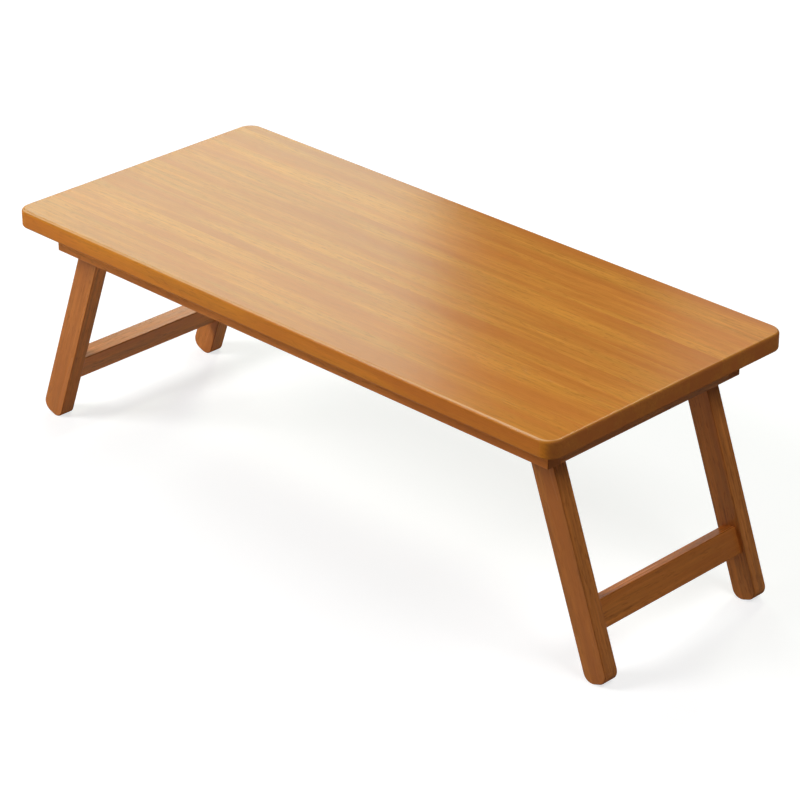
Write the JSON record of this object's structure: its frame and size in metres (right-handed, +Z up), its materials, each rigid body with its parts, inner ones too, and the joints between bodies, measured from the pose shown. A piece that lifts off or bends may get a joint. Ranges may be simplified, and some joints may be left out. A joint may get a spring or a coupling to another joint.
{
  "type": "folding coffee table",
  "caption": "Low rectangular wooden table with a rounded-corner top on a shallow apron; its splayed leg frames fold flat inside the apron.",
  "frame": {"origin": "floor level under the middle of the tabletop, with the legs open", "axes": "+X along the table's length, +Y across it towards the rear, +Z up"},
  "size_m": [0.9728, 0.4, 0.317],
  "materials": {
    "top_wood": "honey-brown stained wood, straight grain along the length, satin lacquer",
    "frame_wood": "slightly darker honey-brown stained wood, grain along each piece, satin lacquer",
    "dowel_wood": "plain beech, unfinished",
    "steel": "bright zinc plated, satin",
    "brass": "turned, bare",
    "nylon": "natural, matt"
  },
  "bodies": {
    "top": {"tabletop": "top_wood", "front_rail": "frame_wood", "rear_rail": "frame_wood", "left_end_rail": "frame_wood", "right_end_rail": "frame_wood", "top_screws": "steel", "rail_dowels": "dowel_wood", "left_front_pivot_bolt": "steel", "left_front_spring_washer": "steel", "left_front_leg_washer": "steel", "left_front_rail_washer": "nylon", "left_front_threaded_insert": "brass", "left_rear_pivot_bolt": "steel", "left_rear_spring_washer": "steel", "left_rear_leg_washer": "steel", "left_rear_rail_washer": "nylon", "left_rear_threaded_insert": "brass", "right_front_pivot_bolt": "steel", "right_front_spring_washer": "steel", "right_front_leg_washer": "steel", "right_front_rail_washer": "nylon", "right_front_threaded_insert": "brass", "right_rear_pivot_bolt": "steel", "right_rear_spring_washer": "steel", "right_rear_leg_washer": "steel", "right_rear_rail_washer": "nylon", "right_rear_threaded_insert": "brass"},
    "left_leg_frame": {"left_front_leg": "frame_wood", "left_rear_leg": "frame_wood", "left_stretcher": "frame_wood", "left_stretcher_dowels": "dowel_wood"},
    "right_leg_frame": {"right_front_leg": "frame_wood", "right_rear_leg": "frame_wood", "right_stretcher": "frame_wood", "right_stretcher_dowels": "dowel_wood"}
  },
  "joints": [
    {"name": "left_fold", "type": "hinge", "parent": "top", "child": "left_leg_frame", "pos_m": [-0.374, 0, 0.2765], "axis": [0, -1, 0], "range_deg": [0, 110]},
    {"name": "right_fold", "type": "hinge", "parent": "top", "child": "right_leg_frame", "pos_m": [0.374, 0, 0.2765], "axis": [0, 1, 0], "range_deg": [0, 110]}
  ]
}
